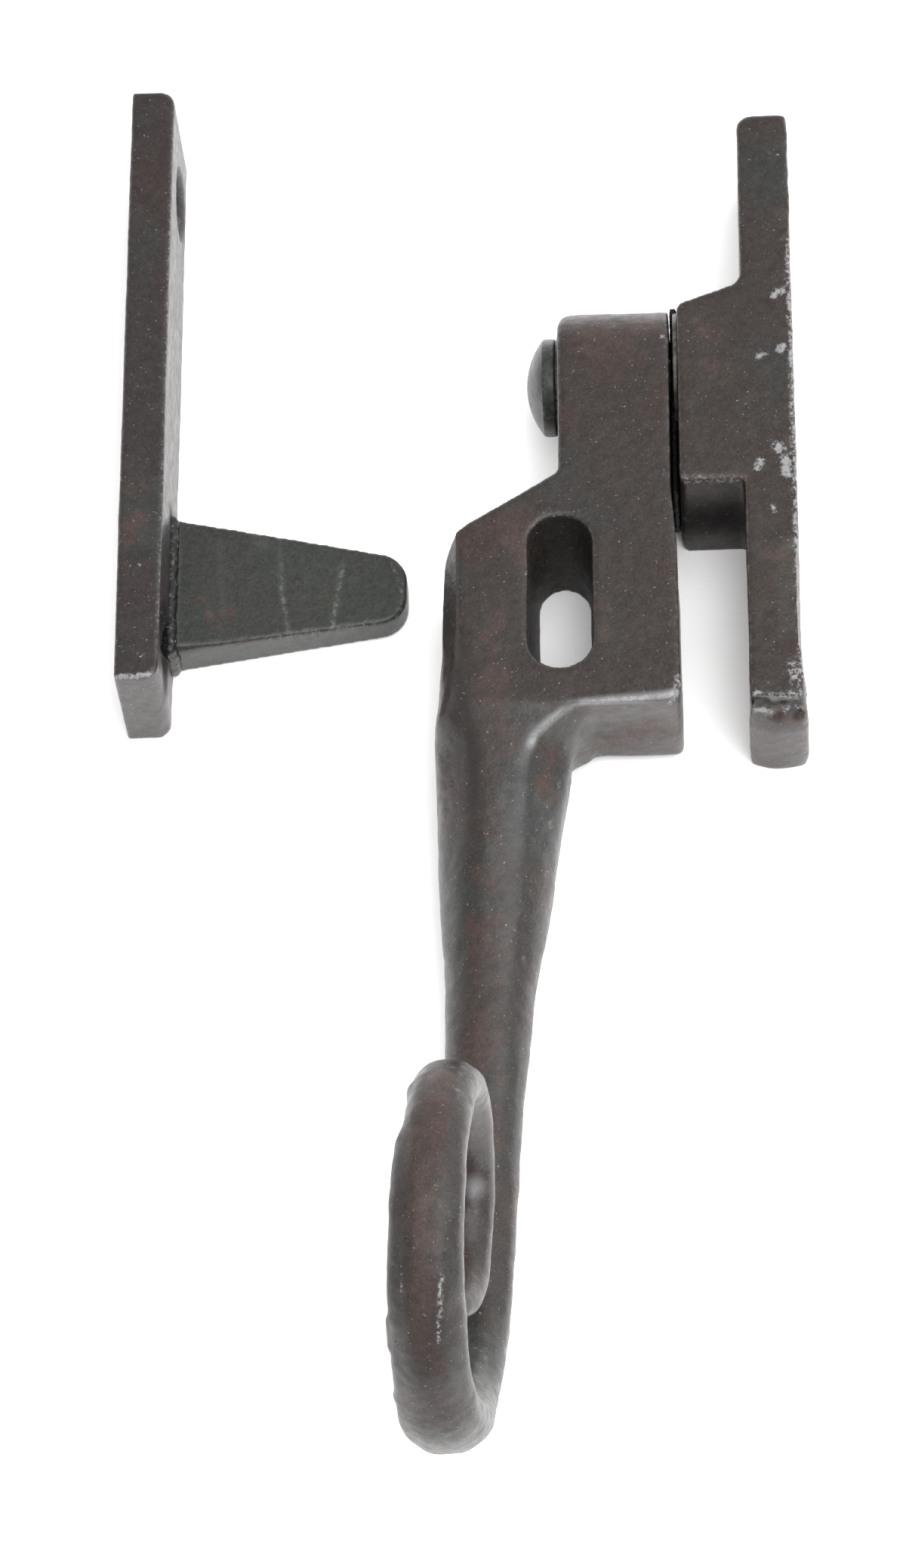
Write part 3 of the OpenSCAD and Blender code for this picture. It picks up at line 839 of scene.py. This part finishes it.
def dress(piece: Piece, finish: bpy.types.Material, body: Body, slot: Slot, *nodes: str) -> Piece:
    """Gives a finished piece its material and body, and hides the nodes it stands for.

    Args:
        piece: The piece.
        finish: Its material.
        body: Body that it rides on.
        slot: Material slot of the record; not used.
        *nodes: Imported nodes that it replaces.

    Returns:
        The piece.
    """
    piece.data.materials.clear()
    piece.data.materials.append(finish)
    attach(piece, body.value)
    if nodes:
        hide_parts(*nodes)
    log.info("%s: %d faces", piece.name, len(piece.data.polygons))
    return piece


@dataclass(frozen=True)
class Fixing:
    """The screw plate with its boss, the riveted pin and the two washers."""

    layout: Layout
    skin: Skin = Skin()
    rim_mm: float = 1.45
    dome_mm: float = 2.05
    # The dome's rings start this part of a step in from its rim, and end short of its pole
    dome_offset: float = 0.35
    dome_steps: int = 14
    shank_mm: float = 2.9
    rivet_mm: float = 4.45
    rivet_depth_mm: float = 1.5
    rivet_lip_mm: float = 0.3
    pin_edge_mm: float = 0.25
    washer_play_mm: float = 0.25
    washer_edge_mm: float = 0.08
    dish_mm: float = 0.4
    # The plate's back edge is more worn away than raised: a middle above a half lowers it
    ragged_mm: float = 0.2
    ragged_lump_mm: float = 2.4
    ragged_reach_mm: float = 1.6
    ragged_middle: float = 0.62
    # Nearly black sheet of painted shade between the lever and the boss, measured as the marks are
    shade_sheet_low_mm: Triple = (-8.35, -17.0, 3.0)
    shade_sheet_high_mm: Triple = (-7.6, 8.0, 12.5)
    shade_sheet_skin: Skin = Skin(
        grain_mm=0.18, easing=2, lump_mm=1.2, lump_depth_mm=0.22, pit_mm=0.6, pit_depth_mm=0.1
    )

    def build(self) -> None:
        """Builds and dresses the plate, the pin, the two washers and the sheet of painted shade in the
        gap.
        """
        # Black scale under wax, from which more small chips have come off than elsewhere
        plate_iron = IronFinish("forged_iron_plate", base="#403732", chip_edge=0.735, seed=2.0)
        # Turned iron is smooth, and hands keep it so: greenish grey with hardly any grain
        pin_iron = IronFinish(
            "turned_iron_pin", base="#41433f", warm="#42403c", cool="#404540", warm_share=0.2,
            cool_share=0.8, speck_edge=0.78, chip_edge=0.9, grain_depth_mm=0.01, pit_depth_mm=0.015,
            seed=5.0,
        )
        # Rolled sheet is even and dull, and worn paler along its edges
        washer_steel = IronFinish(
            "dull_steel_sheet", base="#3b3a38", warm="#3a3631", cool="#3a3c3b", worn_and_highlight="#8f8c88",
            roughness=0.36, edge_strength=0.5, grain_depth_mm=0.012, pit_depth_mm=0.01, seed=8.0,
        )
        dress(self.plate(), plate_iron.build(), Body.FIXING, Slot.WAXED_IRON, "fixing_plate")
        dress(self.pin(), pin_iron.build(), Body.FIXING, Slot.RUBBED_IRON, "pivot_pin")
        steel = washer_steel.build()
        for node in ("head_washer", "spring_washer"):
            dress(self.washer(node), steel, Body.FIXING, Slot.WASHER_STEEL, node)
        # Nearly black with a few pale specks: the sheet's painted shade
        shade_sheet_finish = IronFinish(
            "dark_shade_sheet", base="#171412", warm="#1d1813", cool="#141413", ior=1.45, roughness=0.5,
            speck_edge=0.73, chip_edge=0.9, edge_strength=0.0, seed=9.0,
        )
        dress(self.shade_sheet(), shade_sheet_finish.build(), Body.FIXING, Slot.WAXED_IRON)

    def plate(self) -> Piece:
        """Plate and boss with a ragged back edge and a hammered lower end.

        Returns:
            The piece.
        """
        piece = blank("fixing_plate", "screw_plate")
        self.skin.mesh_over(piece)
        from_edge = vertex_places(piece, self.layout.boxes["fixing_plate"][1])
        away_mm = np.hypot(from_edge[:, 0], from_edge[:, 2])
        ragged = weigh(piece, "back_edge", 1 - away_mm / self.ragged_reach_mm)
        hammer(piece, self.ragged_lump_mm, self.ragged_mm * 2, ragged, self.ragged_middle)
        ease(piece, self.layout.zero, PLATE_EASINGS)
        self.skin.dent(piece)
        paint_marks(piece, self.layout.zero, PLATE_MARKS)
        shade(piece)
        return piece

    def pin(self) -> Piece:
        """Domed pin, turned in one from its riveted end to the top of its dome.

        Returns:
            The piece.
        """
        low, high = self.layout.boxes["pivot_pin"]
        head = (high.z - low.z) / 2
        dome, rim = self.dome_mm * MM, self.rim_mm * MM
        ball = (head * head + dome * dome) / (2 * dome)
        under = low.x + dome + rim
        soft, lip = self.pin_edge_mm * MM, self.rivet_lip_mm * MM
        rivet, shank = self.rivet_mm * MM, self.shank_mm * MM
        stations = [
            (high.x, rivet - lip), (high.x - lip / 2, rivet),
            (high.x - self.rivet_depth_mm * MM, shank), (under, shank),
            (under, head - soft), (under - soft / 2, head - soft / 4), (under - soft, head),
            (low.x + dome + soft, head),
        ]
        reach = math.asin(head / ball)
        for step in range(self.dome_steps):
            angle = reach * (1 - (step + self.dome_offset) / self.dome_steps)
            stations.append((low.x + ball - ball * math.cos(angle), ball * math.sin(angle)))
        piece = turn_piece("domed_pin", self.layout.pivot, stations)
        shade(piece, 20)
        return piece

    def shade_sheet(self) -> Piece:
        """Nearly black sheet in the gap between the lever and the boss: painted shade.

        Returns:
            The piece.
        """
        low, high = (self.layout.zero + Vector(mm) * MM for mm in (self.shade_sheet_low_mm, self.shade_sheet_high_mm))
        deselect()
        bpy.ops.mesh.primitive_cube_add(size=1, location=(low + high) / 2, scale=high - low)
        piece = bpy.context.active_object
        piece.name = "gap_shade_sheet"
        bpy.ops.object.transform_apply(location=True, rotation=True, scale=True)
        self.shade_sheet_skin.work(piece)
        return piece

    def washer(self, node: str) -> Piece:
        """Turns a washer from its profile; the spring washer's is dished toward the lever.

        Args:
            node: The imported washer.

        Returns:
            The piece.
        """
        low, high = self.layout.boxes[node]
        outer = (high.z - low.z) / 2
        inner = (self.shank_mm + self.washer_play_mm) * MM
        soft = self.washer_edge_mm * MM
        dish = self.dish_mm * MM if node == "spring_washer" else 0.0
        rim_near, rim_far = high.x, low.x + dish
        stations = [
            (rim_near, outer - soft), (rim_near - soft, outer), (rim_far + soft, outer),
            (rim_far, outer - soft), (rim_far - dish, inner), (rim_near - dish, inner),
            (rim_near, outer - soft),
        ]
        piece = turn_piece(f"{node}_ring", self.layout.pivot, stations, hollow=True)
        shade(piece, 40)
        return piece


@dataclass(frozen=True)
class Lever:
    """The forged lever: head, slotted block, bevelled stem and scroll."""

    layout: Layout
    skin: Skin = Skin(grain_mm=0.3, easing=4)
    # The bar begins at the block's foot and has its full softness a little lower
    bar_from_mm: float = -47.0
    bar_full_mm: float = 14.0
    bar_easing: int = 36
    # Easing takes some of the bar's section away, and this gives it back
    bar_swell_mm: float = 0.2
    bar_lump_mm: float = 5.0
    bar_lump_depth_mm: float = 0.3
    # Reach of the slot along X and Y, and how far up its faces may look
    slot_x_mm: Pair = (-25.1, -17.4)
    slot_y_mm: Pair = (-41.8, -21.7)
    slot_lean: float = 0.6

    def build(self) -> None:
        """Builds and dresses the lever, with a rough dark lining in its slot."""
        # Black scale under wax, browner than elsewhere, and greyer where a face leans to one side
        iron = IronFinish("forged_iron_lever", facet_tint=0.3, warm_share=0.6, seed=1.0)
        # No hand or file reaches into the slot, so its scale is dark, dull and sandy
        lining = IronFinish(
            "sandy_iron_slot", base="#302a27", warm="#3a2e24", cool="#2c2a27", roughness=0.6, seed=4.0,
            speck_edge=0.66, grain_depth_mm=0.07, pit_depth_mm=0.16, pit_mm=0.9,
        )
        piece = self.forge()
        dress(piece, iron.build(), Body.LEVER, Slot.WAXED_IRON, "lever")
        self.line_slot(piece, lining.build())

    def forge(self) -> Piece:
        """Lays the skin and softens the bar more than the block.

        Returns:
            The piece.
        """
        piece = blank("lever", "forged_lever")
        self.skin.mesh_over(piece)
        down_mm = self.bar_from_mm - vertex_places(piece, self.layout.zero)[:, 1]
        bar = weigh(piece, "bar", down_mm / self.bar_full_mm)
        modify(piece, "SMOOTH", factor=0.5, iterations=self.bar_easing, vertex_group=bar)
        swell(piece, self.bar_swell_mm, bar)
        ease(piece, self.layout.zero, LEVER_EASINGS)
        self.skin.dent(piece)
        hammer(piece, self.bar_lump_mm, self.bar_lump_depth_mm, bar)
        paint_marks(piece, self.layout.zero, LEVER_MARKS)
        shade(piece)
        return piece

    def line_slot(self, piece: Piece, lining: bpy.types.Material) -> None:
        """Gives the faces inside the slot their own rough lining.

        Args:
            piece: The lever.
            lining: Material of the lining.
        """
        piece.data.materials.append(lining)
        zero = self.layout.zero
        x_from, x_to = (zero.x + x * MM for x in self.slot_x_mm)
        y_from, y_to = (zero.y + y * MM for y in self.slot_y_mm)
        for face in piece.data.polygons:
            centre = face.center
            inside = x_from < centre.x < x_to and y_from < centre.y < y_to
            if inside and abs(face.normal.z) < self.slot_lean:
                face.material_index = 1


@dataclass(frozen=True)
class Strike:
    """The loose strike: its screw plate, the tongue and the weld between them."""

    layout: Layout
    skin: Skin = Skin()
    tongue_skin: Skin = Skin(grain_mm=0.22, easing=2, lump_depth_mm=0.12, pit_depth_mm=0.04)
    tongue_swell_mm: float = 0.2
    # The bevel runs from the tongue's root, in from its low side and down from its top, to its
    # tip, in and up from its lowest corner. It leans, and is ground a little deeper than that
    bevel_root_mm: Pair = (0.6, 1.0)
    bevel_tip_mm: Pair = (2.7, 3.3)
    bevel_across: Triple = (0, 1, 1.3)
    bevel_depth_mm: float = 0.75
    grinder_mm: Triple = (40, 12, 6)
    # The bead of weld is thicker down the tongue's lower side
    bead_mm: float = 1.0
    side_bead_mm: float = 1.25
    bead_step_mm: float = 0.55
    bead_rows: int = 7
    # How far the bead's middle lies in from the tongue's low side, its high side and its top
    bead_inset_mm: Triple = (0.6, 1.3, 0.4)
    # The drops differ in size and stray from the route
    drop_share: Pair = (0.94, 1.04)
    drop_stray_mm: float = 0.06
    drop_seed: int = 11
    weld_skin: Skin = Skin(
        grain_mm=0.15, easing=34, lump_mm=1.2, lump_depth_mm=0.2, pit_mm=0.35, pit_depth_mm=0.08
    )

    def build(self) -> None:
        """Builds and dresses the three pieces."""
        # Black scale under wax, a little darker and less brown than elsewhere
        plate_iron = IronFinish("forged_iron_strike", base="#3d3534", warm="#423432", seed=3.0)
        # Ground iron is finely mottled, and greener and paler than scale
        tongue_iron = IronFinish(
            "ground_iron_tongue", base="#3d3f39", warm="#413b34", cool="#3a403a", worn_and_highlight="#84887f",
            warm_share=0.35, cool_share=0.7, speck_edge=0.76, chip_edge=0.85, mottle_mm=0.7, seed=6.0,
        )
        # Weld metal has burnt black and is pitted and grainy
        weld_iron = IronFinish(
            "weld_bead", base="#171617", warm="#1d1715", cool="#16181b", roughness=0.36,
            speck_edge=0.64, grain_depth_mm=0.04, pit_depth_mm=0.1, pit_mm=0.8, seed=7.0,
        )
        dress(self.plate(), plate_iron.build(), Body.STRIKE, Slot.WAXED_IRON, "strike_plate")
        dress(self.tongue(), tongue_iron.build(), Body.STRIKE, Slot.RUBBED_IRON, "strike_tongue")
        dress(self.weld(), weld_iron.build(), Body.STRIKE, Slot.RUBBED_IRON)

    def plate(self) -> Piece:
        """Strike plate with eased edges.

        Returns:
            The piece.
        """
        piece = blank("strike_plate", "strike_screw_plate")
        self.skin.work(piece)
        paint_marks(piece, self.layout.zero, STRIKE_MARKS)
        return piece

    def tongue(self) -> Piece:
        """Tongue with a bevel ground along its low side.

        Returns:
            The piece.
        """
        piece = blank("strike_tongue", "ground_tongue")
        low, high = self.layout.boxes["strike_tongue"]
        (root_in, root_down), (tip_in, tip_up) = self.bevel_root_mm, self.bevel_tip_mm
        root = Vector((low.x, low.y + root_in * MM, high.z - root_down * MM))
        tip = Vector((high.x, low.y + tip_in * MM, low.z + tip_up * MM))
        middle = (root + tip) / 2 + Vector((0, self.bevel_depth_mm * MM, 0))
        size = Vector(self.grinder_mm) * MM
        cut(piece, wedge(middle, tip - root, Vector(self.bevel_across), size))
        self.tongue_skin.work(piece)
        swell(piece, self.tongue_swell_mm)
        paint_marks(piece, self.layout.zero, TONGUE_MARKS)
        return piece

    def weld(self) -> Piece:
        """Bead of weld round the tongue's root, laid as overlapping drops.

        Returns:
            The piece.
        """
        low, high = self.layout.boxes["strike_tongue"]
        dice = random.Random(self.drop_seed)
        low_in, high_in, top_in = (inset * MM for inset in self.bead_inset_mm)
        y_from, y_to, top_z = low.y + low_in, high.y - high_in, high.z - top_in
        step = self.bead_step_mm * MM
        heights = [low.z + self.side_bead_mm * MM + row * step for row in range(self.bead_rows)]
        heights = [height for height in heights if height < top_z]
        count = round((y_to - y_from) / step)
        across = [y_from + (y_to - y_from) * drop / count for drop in range(count + 1)]
        route = [(y_from, height, self.side_bead_mm) for height in heights]
        route += [(y, top_z, self.bead_mm) for y in across]
        route += [(y_to, height, self.bead_mm) for height in heights]
        drops = []
        for y, height, radius_mm in route:
            radius = radius_mm * MM * dice.uniform(*self.drop_share)
            stray = [dice.uniform(-self.drop_stray_mm, self.drop_stray_mm) * MM for _ in range(3)]
            place = Vector((low.x, y, height)) + Vector(stray)
            deselect()
            bpy.ops.mesh.primitive_ico_sphere_add(subdivisions=2, radius=radius, location=place)
            drops.append(bpy.context.active_object)
        bead = drops[0]
        bead.name = "tongue_weld"
        pick(bead)
        for drop in drops:
            drop.select_set(True)
        bpy.ops.object.join()
        bpy.ops.object.transform_apply(location=True, rotation=True, scale=True)
        self.weld_skin.work(bead)
        return bead


@dataclass(frozen=True)
class Studio:
    """Camera of the photograph, a pale floor and soft light, in metres unless a name says else."""

    layout: Layout
    azimuth_deg: float = 7.0
    elevation_deg: float = 63.1
    roll_deg: float = -7.72
    focal_px: float = 7407.0
    frame_height_px: float = 2077.0
    px_per_mm: float = 11.66
    # Point that the middle of the picture looks at, from the plate's room face and the pivot
    aim_mm: Pair = (-33.95, -51.8)
    sensor_mm: float = 36.0
    clip: Pair = (0.01, 20.0)
    floor_size: float = 20.0
    # The paper's own lightness, and what is added where it is seen or mirrored
    paper: float = 0.85
    seen_gain: float = 2.0
    mirrored_gain: float = 1.5
    # Light of the tent's wall near the camera, of that behind the fastener and of its ceiling, and
    # the directions along Y and Z over which they change
    near_wall: float = 0.25
    far_wall: float = 0.9
    ceiling: float = 0.345
    wall_turn: Pair = (-0.6, 0.7)
    ceiling_turn: Pair = (0.15, 0.75)
    lamp_place: Triple = (0.40, -0.16, 0.88)
    lamp_size: float = 1.1
    lamp_watts: float = 6.3

    def build(self) -> None:
        """Sets the camera, the floor, the sky and the lamp."""
        scene = bpy.context.scene
        scene.view_settings.view_transform = "Standard"
        self.camera()
        self.floor()
        self.sky()
        self.lamp()

    def aim(self) -> Vector:
        """Point that the camera looks at, at the pivot's height."""
        return self.layout.zero + Vector((*self.aim_mm, 0)) * MM + Vector((0, 0, self.layout.pivot.z))

    def camera(self) -> None:
        """Camera at the photograph's angle, distance and lens."""
        azimuth, elevation = math.radians(self.azimuth_deg), math.radians(self.elevation_deg)
        roll = math.radians(self.roll_deg)
        level = Vector((math.cos(azimuth), math.sin(azimuth), 0))
        ahead = Vector((math.sin(azimuth), -math.cos(azimuth), 0))
        back = ahead * math.cos(elevation) + Vector((0, 0, math.sin(elevation)))
        rise = back.cross(level)
        right = level * math.cos(roll) + rise * math.sin(roll)
        up = rise * math.cos(roll) - level * math.sin(roll)
        distance = self.focal_px / self.px_per_mm * MM
        data = bpy.data.cameras.new("photo_camera")
        data.sensor_fit = "VERTICAL"
        data.sensor_height = self.sensor_mm
        data.lens = self.sensor_mm * self.focal_px / self.frame_height_px
        data.clip_start, data.clip_end = self.clip
        camera = bpy.data.objects.new("photo_camera", data)
        turn = Matrix((right, up, back)).transposed().to_4x4()
        camera.matrix_world = Matrix.Translation(self.aim() + back * distance) @ turn
        bpy.context.scene.collection.objects.link(camera)
        bpy.context.scene.camera = camera

    def floor(self) -> None:
        """Pale paper, lighter toward the camera and in gloss, so that only deep shadows show on it."""
        deselect()
        bpy.ops.mesh.primitive_plane_add(size=self.floor_size)
        floor = bpy.context.active_object
        floor.name = "pale_table"
        material = bpy.data.materials.new("pale_paper")
        material.use_nodes = True
        tree = material.node_tree
        tree.nodes.clear()
        rays = add_node(tree, "LightPath")
        level = self.paper
        for ray, gain in (("Is Camera Ray", self.seen_gain), ("Is Glossy Ray", self.mirrored_gain)):
            sum_of = {0: rays[ray], 1: gain, 2: level}
            level = add_node(tree, "Math", sum_of, operation="MULTIPLY_ADD")[0]
        paper = add_node(tree, "BsdfDiffuse", {"Color": level})[0]
        add_node(tree, "OutputMaterial", {"Surface": paper})
        floor.data.materials.append(material)

    def sky(self) -> None:
        """White walls of a light tent, brightest behind the fastener, under an even ceiling."""
        world = bpy.data.worlds.new("light_tent")
        bpy.context.scene.world = world
        world.use_nodes = True
        tree = world.node_tree
        tree.nodes.clear()
        direction = add_node(tree, "TexCoord")["Generated"]
        parts = add_node(tree, "SeparateXYZ", {0: direction})
        wall, height = (
            add_node(
                tree, "MapRange",
                {"Value": part, "From Min": start, "From Max": end, "To Min": low, "To Max": high},
                interpolation_type="SMOOTHSTEP",
            )[0]
            for part, (start, end), low, high in (
                (parts["Y"], self.wall_turn, self.near_wall, self.far_wall),
                (parts["Z"], self.ceiling_turn, 0.0, 1.0),
            )
        )
        level = add_node(tree, "Mix", {0: height, 2: wall, 3: self.ceiling})[0]
        light = add_node(tree, "Background", {"Color": linear("#ffffff"), "Strength": level})
        add_node(tree, "OutputWorld", {"Surface": light[0]})

    def lamp(self) -> None:
        """One broad soft box over the table, to its right."""
        data = bpy.data.lights.new("right_box", "AREA")
        data.size = self.lamp_size
        data.energy = self.lamp_watts
        lamp = bpy.data.objects.new("right_box", data)
        place = Vector(self.lamp_place)
        turn = (place - self.aim()).to_track_quat("Z", "Y").to_matrix().to_4x4()
        lamp.matrix_world = Matrix.Translation(place) @ turn
        bpy.context.scene.collection.objects.link(lamp)


def main() -> None:
    """Builds the studio and every piece, in order."""
    logging.basicConfig(level=logging.INFO, format="%(name)s: %(message)s")
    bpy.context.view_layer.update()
    layout = Layout.read()
    Studio(layout).build()
    for assembly in (Fixing(layout), Lever(layout), Strike(layout)):
        assembly.build()


if __name__ == "__main__":
    main()
